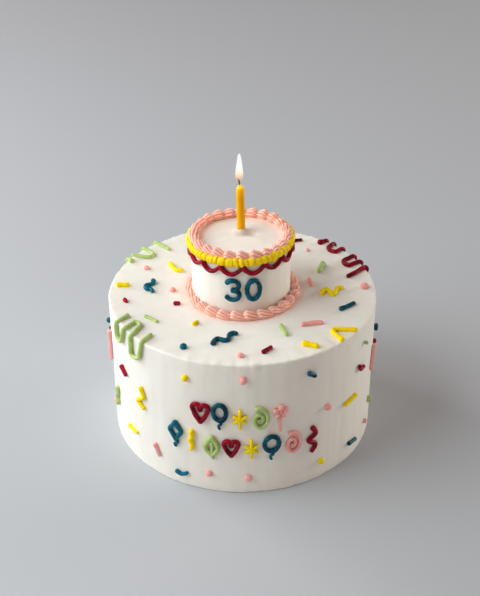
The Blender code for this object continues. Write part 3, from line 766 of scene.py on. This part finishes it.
def dot_tree():
    """Set a soft dot at every point, turned to the way out and sized by the point."""
    tree, given = geometry_tree("icing_dots", Dot="Float", Flatness="Float", Seed="Int")
    blob = add_node(tree, "GeometryNodeMeshUVSphere", Segments=20, Rings=12, Radius=given["Dot"])
    out = add_node(tree, "GeometryNodeInputNamedAttribute", data_type="FLOAT_VECTOR", Name="out")
    size = add_node(tree, "GeometryNodeInputNamedAttribute", data_type="FLOAT", Name="size")
    size = size.outputs["Attribute"]
    facing = add_node(tree, "FunctionNodeAlignRotationToVector", axis="Z", Vector=out.outputs["Attribute"])
    chance = add_node(tree, "FunctionNodeRandomValue", data_type="FLOAT", Min=0.86, Max=1.18,
                      Seed=given["Seed"]).outputs["Value"]
    scale = add_node(tree, "ShaderNodeCombineXYZ", calc(tree, "MULTIPLY", size, chance), size,
                     calc(tree, "MULTIPLY", size, given["Flatness"]))
    copies = add_node(tree, "GeometryNodeInstanceOnPoints", Points=given["Geometry"],
                      Instance=blob.outputs["Mesh"], Rotation=facing.outputs["Rotation"],
                      Scale=scale.outputs["Vector"])
    return finished(tree, given, copies.outputs["Instances"])


icing_dots = dot_tree()
HIDDEN_STRIP = 33.0        # half the width of the face's part behind the top tier
HIDDEN_FLECK = 3.2         # half the length of a fleck there
TOP_COUNT, SIDE_COUNT = 8, 24
dice = random.Random(4)
colours = list(ICING)
for index in range(TOP_COUNT):
    colour = dice.choice(colours)
    x, y, turn = dice.uniform(-HIDDEN_STRIP, HIDDEN_STRIP), dice.uniform(48, 86), dice.uniform(0, 2 * math.pi)
    across, away = math.cos(turn) * HIDDEN_FLECK, math.sin(turn) * HIDDEN_FLECK
    if index % 3 == 0:
        TOP_DOTS[colour] = TOP_DOTS.get(colour, ()) + ((x, y, dice.uniform(1.1, 1.5)),)
    else:
        FLECKS[colour] += ((on_top, (x - across, y - away), (x + across, y + away)),)
for index in range(SIDE_COUNT):
    colour = dice.choice(colours)
    azimuth = 105 + 150 * (index + dice.random()) / SIDE_COUNT
    height, lean = dice.uniform(12, 92), dice.uniform(-3, 3)
    if index % 3 == 0:
        SIDE_DOTS[colour] = SIDE_DOTS.get(colour, ()) + ((azimuth, height, dice.uniform(1.1, 1.5)),)
    else:
        lower = height - dice.uniform(2, 6)
        FLECKS[colour] += ((on_side, (azimuth - lean, lower), (azimuth + lean, height + 4)),)

for number, colour in enumerate(colours):
    rows = [(on_top([(x, y)], DOT_PROUD * DOT * size)[0], (0.0, 0.0, 1.0), size)
            for x, y, size in TOP_DOTS.get(colour, ())]
    rows += [(on_side([(azimuth, height)], DOT_PROUD * DOT * size)[0], polar(azimuth, 1.0, 0.0), size)
             for azimuth, height, size in SIDE_DOTS.get(colour, ())]
    places, outs, sizes = zip(*rows)
    name = f"dots_{colour}_icing"
    cloud = plain_mesh(name, places, [])
    cloud.attributes.new("out", "FLOAT_VECTOR", "POINT").data.foreach_set("vector", [part for out in outs
                                                                                     for part in out])
    cloud.attributes.new("size", "FLOAT", "POINT").data.foreach_set("value", sizes)
    dots = grow(name, cloud, icing_dots, icings[colour], Dot=DOT * DOT_SHARE, Flatness=0.85, Seed=number)
    add_piece(name, dots, icings[colour], f"{colour}_icing")
    routes = [place(route, SINK * CONFETTI_STROKE) for place, *route in FLECKS[colour]]
    pipe(colour, f"flecks_{colour}_icing", routes, FLECK_STROKE, seed=30.0 + number)


# ==== Shell borders =========================================================================
# Pink buttercream is piped from an open star tip. Each shell swells into a ridged head and is
# drawn out to a tail that the next one covers: one ring on the top tier, one round its foot.

SHELL_HEAD = 0.38          # where along a shell it is thickest
SHELL_TWIST = 3.2          # how far its ridges wind outward, in half turns of a groove
SHELL_RIDGES, SHELL_STEPS = 8, 30
GROOVE = 0.27              # how deep the grooves are cut, of its thickness


def closed_mesh(name, points, faces, ridge_light_values):
    """A mesh with its normals outward and a ridge light value at every point, for painted light and shade."""
    mesh = plain_mesh(name, points, faces)
    mesh.attributes.new("painted_ridge_light", "FLOAT", "POINT").data.foreach_set("value", ridge_light_values)
    shape = bmesh.new()
    shape.from_mesh(mesh)
    bmesh.ops.recalc_face_normals(shape, faces=shape.faces)
    shape.to_mesh(mesh)
    shape.free()
    return mesh


def star_shell(name, pitch, radius):
    """One shell along +X, longer than its pitch: a plump ridged head and a slightly drawn tail.

    Its ridge light is 0 in a groove, low at the pinched start and along the drawn tail, and 1 on a ridge: a
    painted highlight on the ridges and painted shade in the grooves, at the start and along the tail.
    """
    around = SHELL_RIDGES * 7
    points, ridge_light_values = [], []
    for step in range(SHELL_STEPS + 1):
        share = step / SHELL_STEPS
        dome = math.sin(min(share / SHELL_HEAD, 1.0) * math.pi / 2) ** 0.46
        drawn = max(0.0, (share - SHELL_HEAD) / (1.0 - SHELL_HEAD))
        close = math.sqrt(max(0.0, 1.0 - max(0.0, (share - 0.88) / 0.12) ** 2))
        reach = radius * max(0.03, dome * (1.0 - 0.52 * drawn ** 1.4) * close)
        carve = GROOVE * min(1.0, share / 0.10)
        peak = 0.80 + 0.16 * math.exp(-((share - 0.25) / 0.16) ** 2)
        # Painted shade: the ridge light is lowered at the pinched start and along the drawn tail.
        shell_light_share = min(1.0, 0.15 + share / 0.16) * (1.0 - 0.35 * drawn)
        for turn in turns(around):
            ridge = abs(math.cos(SHELL_RIDGES * turn / 2 + SHELL_TWIST * (share - 0.3))) ** 0.8
            out = reach * (1 - carve + carve * ridge)
            points.append((pitch * (-0.55 + 1.45 * share), out * math.sin(turn),
                           0.95 * out * math.cos(turn) + reach * peak))
            ridge_light_values.append(ridge * shell_light_share)
    faces = ring_faces(SHELL_STEPS + 1, around)
    faces.append(tuple(range(around)))
    faces.append(tuple(range(len(points) - around, len(points)))[::-1])
    return closed_mesh(name, points, faces, ridge_light_values)


def border_tree():
    """Set copies of one shell head to tail round a ring, each a little different."""
    tree, given = geometry_tree("border_ring", Ring="Float", Count="Int", Middle="Vector", Uneven="Float",
                                Seed="Int")

    def chance(reach, offset):
        """A random vector for each shell, up to so far either way, times how uneven they are."""
        seed = calc(tree, "ADD", given["Seed"], offset)
        low = tuple(-value for value in reach)
        drawn = add_node(tree, "FunctionNodeRandomValue", data_type="FLOAT_VECTOR", Min=low, Max=reach,
                         Seed=seed)
        return add_node(tree, "ShaderNodeVectorMath", drawn.outputs["Value"], operation="SCALE",
                        Scale=given["Uneven"]).outputs["Vector"]

    ring = add_node(tree, "GeometryNodeCurvePrimitiveCircle", Resolution=given["Count"], Radius=given["Ring"])
    places = add_node(tree, "GeometryNodeCurveToPoints", mode="EVALUATED", Curve=ring.outputs["Curve"])
    facing = add_node(tree, "FunctionNodeAlignRotationToVector", axis="X", pivot_axis="Z",
                      Vector=places.outputs["Tangent"])
    sway = add_node(tree, "FunctionNodeEulerToRotation", Euler=chance((1.2, 0.5, 1.0), 1.0))
    turned = add_node(tree, "FunctionNodeRotateRotation", rotation_space="LOCAL",
                      Rotation=facing.outputs["Rotation"], Rotate_By=sway.outputs["Rotation"])
    sizes = add_node(tree, "ShaderNodeVectorMath", chance((0.8, 0.6, 0.7), 2.0), (1.0, 1.0, 1.0),
                     operation="ADD")
    copies = add_node(tree, "GeometryNodeInstanceOnPoints", Points=places.outputs["Points"],
                      Instance=given["Geometry"], Rotation=turned.outputs["Rotation"],
                      Scale=sizes.outputs["Vector"])
    moved = add_node(tree, "GeometryNodeTransform", Geometry=copies.outputs["Instances"],
                     Translation=given["Middle"])
    return finished(tree, given, moved.outputs["Geometry"])


border_ring = border_tree()
# Pale crest and deep coral groove colours: a painted highlight on the ridges and painted shade in the
# grooves.
shell_cream = cream_like("shell_cream", (1.0, 0.605, 0.51), (0.98, 0.235, 0.125), 0.42, 0.2, 0.3,
                         (3.4 * MM, 1.0 * MM, 0.6 * MM), ridge_painted=True)


def border(name, node, ring, count, radius, foot, uneven, seed, aside=0.0, ahead=0.0):
    """Pipe a ring of shells; aside and ahead move its middle off the top tier's."""
    shell = star_shell(name.rstrip("s"), 2 * math.pi * ring / count, radius)
    middle = (TOP_CENTRE.x + aside, TOP_CENTRE.y - ahead, foot)
    mesh = grow(name, shell, border_ring, shell_cream, Ring=ring, Count=count, Middle=middle,
                Uneven=uneven, Seed=seed)
    add_piece(name, mesh, shell_cream, "shell_pink", node)


SHELL_SUNK = 0.4 * MM
border("rim_shells", "rim_shell_border", 33.9 * MM, 24, 3.95 * MM, TOP_FACE - SHELL_SUNK, 0.10, 5)
border("foot_shells", "foot_shell_border", 39.3 * MM, 26, 3.85 * MM, TIER_HEIGHT - SHELL_SUNK, 0.12, 8,
       aside=0.7 * MM, ahead=2.0 * MM)


# ==== Bead border ===========================================================================
# Yellow buttercream beads run round the top tier's shoulder, outside the pink shells. They
# are piped so close that they merge into one ruffled band, which leans out at its top, with
# uneven upright creases and a ragged lower edge.

BEADS = 56
BEAD_STEPS, BEAD_AROUND = 12, 22
BEAD_RING, BEAD_OUT, BEAD_TALL = 36.0 * MM, 3.6 * MM, 3.6 * MM
BEAD_MIDDLE = Vector((TOP_CENTRE.x - 0.5 * MM, TOP_CENTRE.y, 155.7 * MM))
BEAD_FLARE = 0.8 * MM               # how far the band's top leans out
BEAD_TILT = math.radians(-1.6)      # the band sits higher on the right


def bead_band(name, seed):
    """A closed band round the Z axis, cut into beads of uneven width, depth and height."""
    dice = random.Random(seed)
    widths = [dice.uniform(0.55, 1.6) for _ in range(BEADS)]
    azimuth, points, ridge_light_values = dice.uniform(0, 9), [], []
    for width in widths:
        span = 360 * width / sum(widths)
        bulge, cut = dice.uniform(0.95, 1.06), dice.uniform(0.12, 0.36)
        drop, rise, lean = dice.uniform(-0.6, 1.6), dice.uniform(-0.6, 0.4), dice.uniform(-2.4, 2.4)
        phase = dice.uniform(0, 6)
        for step in range(BEAD_STEPS):
            across = -math.cos(math.pi * step / BEAD_STEPS)
            swell = (1 - abs(across) ** 2.2) ** 0.6
            fold = 1 + 0.05 * math.sin(5.5 * across + phase) * swell
            out = (1 - cut * (1 - swell)) * (1 + (bulge - 1) * swell) * fold
            place = azimuth + span * (across + 1) / 2
            for turn in turns(BEAD_AROUND):
                outward, upward = math.cos(turn), math.sin(turn)
                outward = abs(outward) ** 0.8 * (1.0 if outward > 0 else -0.35)
                tall = BEAD_TALL * (0.80 + 0.20 * swell) + swell * (drop if upward < 0 else rise) * MM
                radius = BEAD_RING + BEAD_OUT * out * outward + BEAD_FLARE * upward
                points.append(polar(place + lean * swell * upward, radius, tall * upward))
                # Painted shade: the ridge light falls in the creases between beads and on the band's
                # underside.
                ridge_light_values.append((0.2 + 0.8 * swell) * (1 - 0.25 * max(0.0, -upward)))
        azimuth += span
    return closed_mesh(name, points, ring_faces(BEADS * BEAD_STEPS, BEAD_AROUND, closed=True), ridge_light_values)


# Pale yellow on the beads' crowns and deep orange in their creases and underneath: painted shade.
bead_cream = cream_like("bead_cream", (1.0, 0.72, 0.012), (0.99, 0.54, 0.001), 0.40, 0.12, 0.22,
                        (3.0 * MM, 2.0 * MM, 0.4 * MM), ridge_painted=True)
beads = bead_band("beads", 21)
beads.transform(Matrix.Translation(BEAD_MIDDLE) @ Matrix.Rotation(BEAD_TILT, 4, "Y"))
add_piece("beads", beads, bead_cream, "yellow_icing", "bead_border")


# ==== Swag garland ==========================================================================
# Crimson icing hangs in shallow scallops below the beads. Every swag is one stroke from a
# thick start, tucked under the beads, down and up again to the start of the next.

SWAGS, SWAG_STROKE = 15, 1.7 * MM
SWAG_START, SWAG_TOP, SWAG_DROP = 2.5, 153.2 * MM, 6.1 * MM
SWAG_TILT = 1.1 * MM       # the garland hangs higher on the right, as the beads do
SWAG_STEPS = 10
dice = random.Random(12)
swag_ends = [SWAG_START + 360 * index / SWAGS + dice.uniform(-1.4, 1.4) for index in range(SWAGS)]
swag_ends.append(swag_ends[0] + 360)
swags = []
for first, last in zip(swag_ends, swag_ends[1:]):
    top = SWAG_TOP + SWAG_TILT * math.sin(math.radians((first + last) / 2))
    drop = SWAG_DROP + dice.uniform(-0.5, 0.5) * MM
    route = []
    for step in range(SWAG_STEPS + 1):
        share = step / SWAG_STEPS
        hang = math.sin(math.pi * share ** 0.88) ** 0.9
        azimuth = first - 1.0 + (last - first + 1.6) * share
        route.append((polar(azimuth, TOP_RADIUS + SINK * SWAG_STROKE, top - drop * hang, TOP_CENTRE),
                      1.18 - 0.34 * share ** 0.7))
    swags.append(route)
pipe("crimson", "swag_garland_icing", swags, SWAG_STROKE, "swag_garland", blob=0.1, wobble=0.2, seed=5.0)


# ==== Candle ================================================================================
# A thin yellow birthday candle is pushed into the top tier and leans a little to its left.
# Its cotton wick is charred, bends over, and burns with one steady flame.

CANDLE_RADIUS, CANDLE_SHOWN, CANDLE_SUNK = 3.0 * MM, 36.3 * MM, 8.0 * MM
CANDLE_STEPS = 18
CANDLE_LEAN = math.radians(-1.4)
CANDLE_TOP = TOP_FACE + CANDLE_SHOWN
leaning = Matrix.Translation((*CANDLE_PLACE, TOP_FACE)) @ Matrix.Rotation(CANDLE_LEAN, 4, "Y")


def turned_mesh(name, profile, around, wobble=0.0):
    """A closed solid of revolution; the profile runs down from the axis to the axis."""
    points = []
    for reach, up in profile[1:-1]:
        for angle in turns(around):
            spread = reach * (1 + wobble * noise.noise(Vector((math.cos(angle), math.sin(angle), up * 120))))
            points.append((spread * math.cos(angle), spread * math.sin(angle), up))
    crown, last_ring = len(points), len(points) - around
    points.extend([(0, 0, profile[0][1]), (0, 0, profile[-1][1])])
    faces = ring_faces(len(profile) - 2, around)
    for index in range(around):
        after = (index + 1) % around
        faces += [(crown, index, after), (crown + 1, last_ring + after, last_ring + index)]
    return plain_mesh(name, points, faces)


def height_share(tree, low, high):
    """0 at one height of a piece and 1 at another; returns the pattern's place as well."""
    place = add_node(tree, "ShaderNodeTexCoord").outputs["Object"]
    height = add_node(tree, "ShaderNodeSeparateXYZ", Vector=place).outputs["Z"]
    share = add_node(tree, "ShaderNodeMapRange", Value=height, From_Min=low, From_Max=high)
    return share.outputs["Result"], place


# Painted flame light: towards its top the wax is painted lighter orange and given a glow of its own.
wax, tree, shader = surface("yellow_wax", Roughness=0.34, Specular_IOR_Level=0.12, Subsurface_Weight=0.12,
                            Subsurface_Radius=(4.0 * MM, 2.0 * MM, 0.4 * MM), Subsurface_Scale=1.0,
                            Emission_Color=(1.0, 0.5, 0.05, 1))
glow, place = height_share(tree, CANDLE_TOP - 9 * MM, CANDLE_TOP + 1 * MM)
shades = ramp(tree, glow, (0.0, (0.83, 0.425, 0.001, 1)), (1.0, (0.95, 0.47, 0.005, 1)))
tree.links.new(shades["Color"], shader.inputs["Base Color"])
tree.links.new(calc(tree, "MULTIPLY", glow, 0.22), shader.inputs["Emission Strength"])
fine_relief(tree, shader, place, 420.0, 3.0, 0.05, 0.3 * MM)

CANDLE_SHOULDER = ((0.0, 1.5), (0.4, 1.4), (0.6, 0.9), (0.85, 0.3), (1.35, -0.1), (1.9, -0.6), (2.35, -1.2),
                   (2.7, -2.0), (2.9, -3.0))      # from the wick outwards, in millimetres
candle_profile = [(reach * MM, CANDLE_SHOWN + up * MM) for reach, up in CANDLE_SHOULDER]
for step in range(CANDLE_STEPS + 1):
    fallen = 4.2 * MM + (CANDLE_SHOWN + 3 * MM) * step / CANDLE_STEPS
    candle_profile.append((CANDLE_RADIUS, CANDLE_SHOWN - fallen))
candle_profile.append((0.0, -CANDLE_SUNK))
candle_mesh = turned_mesh("candle_wax_body", candle_profile, 40, wobble=0.012)
candle_mesh.transform(leaning)
add_piece("candle_wax_body", candle_mesh, wax, "candle_wax", "candle")

WICK_STROKE = 0.62 * MM
WICK_ROOT = CANDLE_SHOWN + 2.0 * MM
WICK_BEND = ((-0.3, -1.2), (-0.3, 0.4), (-0.5, 1.6), (-0.9, 2.9), (-1.5, 4.1), (-2.1, 5.0), (-2.6, 5.5))
charred, tree, shader = surface("charred_cotton", Roughness=0.9, Emission_Strength=1.15)
share, place = height_share(tree, TOP_FACE + WICK_ROOT, TOP_FACE + WICK_ROOT + 5.5 * MM)
char = ramp(tree, share, (0.0, (0.10, 0.035, 0.012, 1)), (0.35, (0.012, 0.008, 0.006, 1)))
ember = ramp(tree, share, (0.52, (0, 0, 0, 1)), (0.85, (1.0, 0.30, 0.15, 1)))
tree.links.new(char["Color"], shader.inputs["Base Color"])
tree.links.new(ember["Color"], shader.inputs["Emission Color"])
wick_route = [leaning @ Vector((across * MM, 0.0, WICK_ROOT + up * MM)) for across, up in WICK_BEND]
pipe_in(charred, "charred_wick", "charred_wick_braid", [wick_route], WICK_STROKE, "wick", blob=0.0,
        wobble=0.5, grain=0.2 * MM)

flame_low, flame_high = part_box("flame")
FLAME_MIDDLE = ((flame_low[0] + flame_high[0]) / 2, (flame_low[1] + flame_high[1]) / 2)
FLAME_HEIGHT = flame_high[2] - flame_low[2]
FLAME_RADIUS = (flame_high[0] - flame_low[0]) / 2
FLAME_WIDE, FLAME_TALL = 0.94, 0.985       # of the solid, so that the glow stays inside it
FLAME_OUTLINE = (           # height and half width, as shares of the whole
    (0.0, 0.34), (0.03, 0.54), (0.08, 0.76), (0.15, 0.91), (0.22, 0.99), (0.31, 1.0), (0.40, 0.94),
    (0.50, 0.85), (0.61, 0.74), (0.72, 0.63), (0.82, 0.52), (0.90, 0.40), (0.95, 0.29), (0.985, 0.16))

# Glowing gas: its colour and cover change with height alone.
gas, tree, shader = surface("flame_glow")
tree.nodes.remove(shader)
share, place = height_share(tree, flame_low[2], flame_high[2])
gas_shades = ramp(tree, share, (0.0, (1.0, 0.62, 0.40, 0.04)), (0.16, (1.0, 0.66, 0.42, 0.16)),
                  (0.25, (1.0, 0.74, 0.46, 0.50)), (0.35, (1.0, 0.86, 0.60, 0.92)),
                  (0.48, (1.0, 0.98, 0.92, 1.0)), (1.0, (1.0, 1.0, 1.0, 1.0)))
glow = add_node(tree, "ShaderNodeEmission", Color=gas_shades["Color"], Strength=1.0).outputs["Emission"]
clear = add_node(tree, "ShaderNodeBsdfTransparent").outputs["BSDF"]
mix = add_node(tree, "ShaderNodeMixShader", gas_shades["Alpha"], clear, glow)
tree.links.new(mix.outputs["Shader"], tree.nodes["Material Output"].inputs["Surface"])

flame_tall = FLAME_HEIGHT * FLAME_TALL
flame_half = FLAME_RADIUS * FLAME_WIDE
flame_profile = [(flame_half * wide, flame_tall * high) for high, wide in reversed(FLAME_OUTLINE)]
flame_mesh = turned_mesh("burning_flame", [(0.0, flame_tall), *flame_profile, (0.0, 0.0)], 32)
flame_foot = flame_low[2] + (FLAME_HEIGHT - flame_tall) * 0.4
flame_mesh.transform(Matrix.Translation((*FLAME_MIDDLE, flame_foot)))
add_piece("burning_flame", flame_mesh, gas, "flame_glow", "flame").visible_shadow = False

candle_light = bpy.data.lights.new("candle_light", "POINT")
candle_light.energy = 0.012
candle_light.color = (1.0, 0.72, 0.45)
candle_light.shadow_soft_size = 4 * MM
new_object("candle_light", candle_light).location = (*FLAME_MIDDLE, flame_low[2] + 9 * MM)
